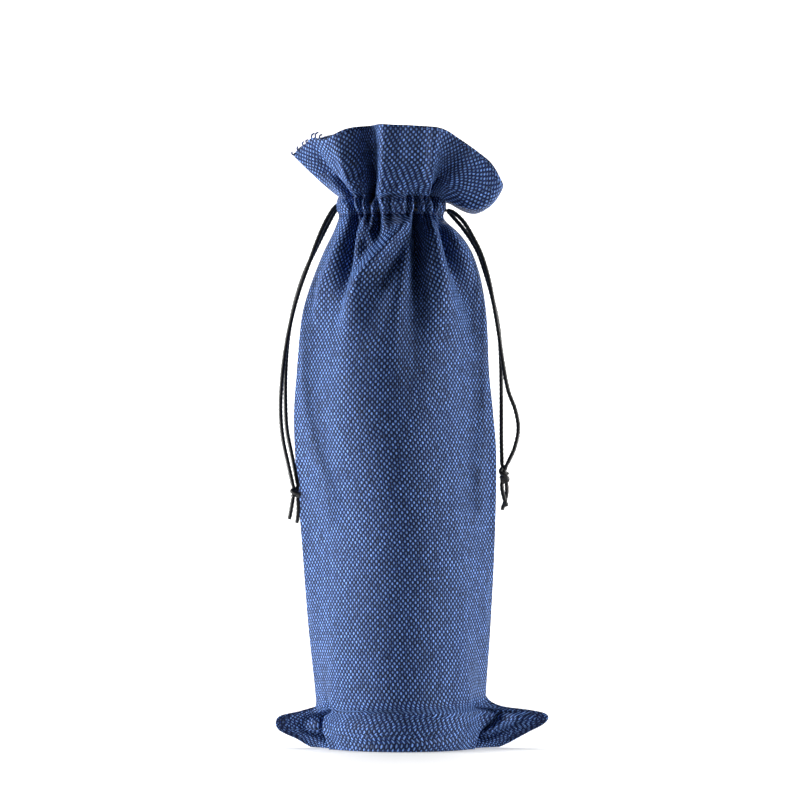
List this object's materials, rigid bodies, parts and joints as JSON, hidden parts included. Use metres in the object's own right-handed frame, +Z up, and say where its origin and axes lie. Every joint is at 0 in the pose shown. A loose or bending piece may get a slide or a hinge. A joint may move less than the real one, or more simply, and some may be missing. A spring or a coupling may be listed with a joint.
{
  "type": "drawstring wine gift bag",
  "caption": "Tall woven drawstring gift bag for a wine bottle, with a gathered neck, flared ruffle, flat corner ears and knotted cords.",
  "frame": {"origin": "centre of the base, on the face that rests on the floor", "axes": "+Z up along the bag, -Y towards the front, +X to the right as seen from the front"},
  "size_m": [0.1335, 0.082, 0.3063],
  "materials": {
    "blue_cloth": "coarse two-tone plain weave of blue yarns, soft sheen",
    "seam_cloth": "the same weave, seen from inside and overcast at its edges",
    "sewing_thread": "dark blue sewing thread",
    "black_cord": "black waxed cotton cord, slightly glossy"
  },
  "bodies": {
    "root": {"front_panel": "blue_cloth", "back_panel": "blue_cloth", "bottom_seam": "seam_cloth", "left_side_seam": "seam_cloth", "right_side_seam": "seam_cloth"},
    "front_mouth": {"front_casing": "blue_cloth", "front_facing": "seam_cloth", "front_ruffle": "blue_cloth", "front_lower_stitching": "sewing_thread", "front_upper_stitching": "sewing_thread", "left_cord_front_run": "black_cord", "right_cord_front_run": "black_cord", "loose_threads": "sewing_thread"},
    "back_mouth": {"back_casing": "blue_cloth", "back_facing": "seam_cloth", "back_ruffle": "blue_cloth", "back_lower_stitching": "sewing_thread", "back_upper_stitching": "sewing_thread", "left_cord_back_run": "black_cord", "right_cord_back_run": "black_cord"},
    "left_cord": {"left_cord_front_strand": "black_cord", "left_cord_back_strand": "black_cord"},
    "left_cord_end": {"left_cord_knot": "black_cord", "left_cord_front_tail": "black_cord", "left_cord_back_tail": "black_cord"},
    "right_cord": {"right_cord_front_strand": "black_cord", "right_cord_back_strand": "black_cord"},
    "right_cord_end": {"right_cord_knot": "black_cord", "right_cord_front_tail": "black_cord", "right_cord_back_tail": "black_cord"}
  },
  "joints": [
    {"name": "front_mouth_opening", "type": "slide", "parent": "root", "child": "front_mouth", "axis": [0, -1, 0], "range_m": [0, 0.025]},
    {"name": "back_mouth_opening", "type": "slide", "parent": "root", "child": "back_mouth", "axis": [0, 1, 0], "range_m": [0, 0.025]},
    {"name": "left_cord_swing", "type": "hinge", "parent": "root", "child": "left_cord", "pos_m": [-0.0285, 0, 0.2645], "axis": [0, 1, 0], "range_deg": [0, 50]},
    {"name": "right_cord_swing", "type": "hinge", "parent": "root", "child": "right_cord", "pos_m": [0.0225, 0, 0.2615], "axis": [0, -1, 0], "range_deg": [0, 50]},
    {"name": "left_cord_draw", "type": "slide", "parent": "left_cord", "child": "left_cord_end", "axis": [0, 0, 1], "range_m": [0, 0.042], "deforming": ["left_cord_front_strand", "left_cord_back_strand"]},
    {"name": "right_cord_draw", "type": "slide", "parent": "right_cord", "child": "right_cord_end", "axis": [0, 0, 1], "range_m": [0, 0.042], "deforming": ["right_cord_front_strand", "right_cord_back_strand"]}
  ],
  "couplings": [
    {"joint": "back_mouth_opening", "follows": "front_mouth_opening", "ratio": 1},
    {"joint": "left_cord_draw", "follows": "front_mouth_opening", "ratio": 1.68},
    {"joint": "right_cord_draw", "follows": "front_mouth_opening", "ratio": 1.68}
  ]
}
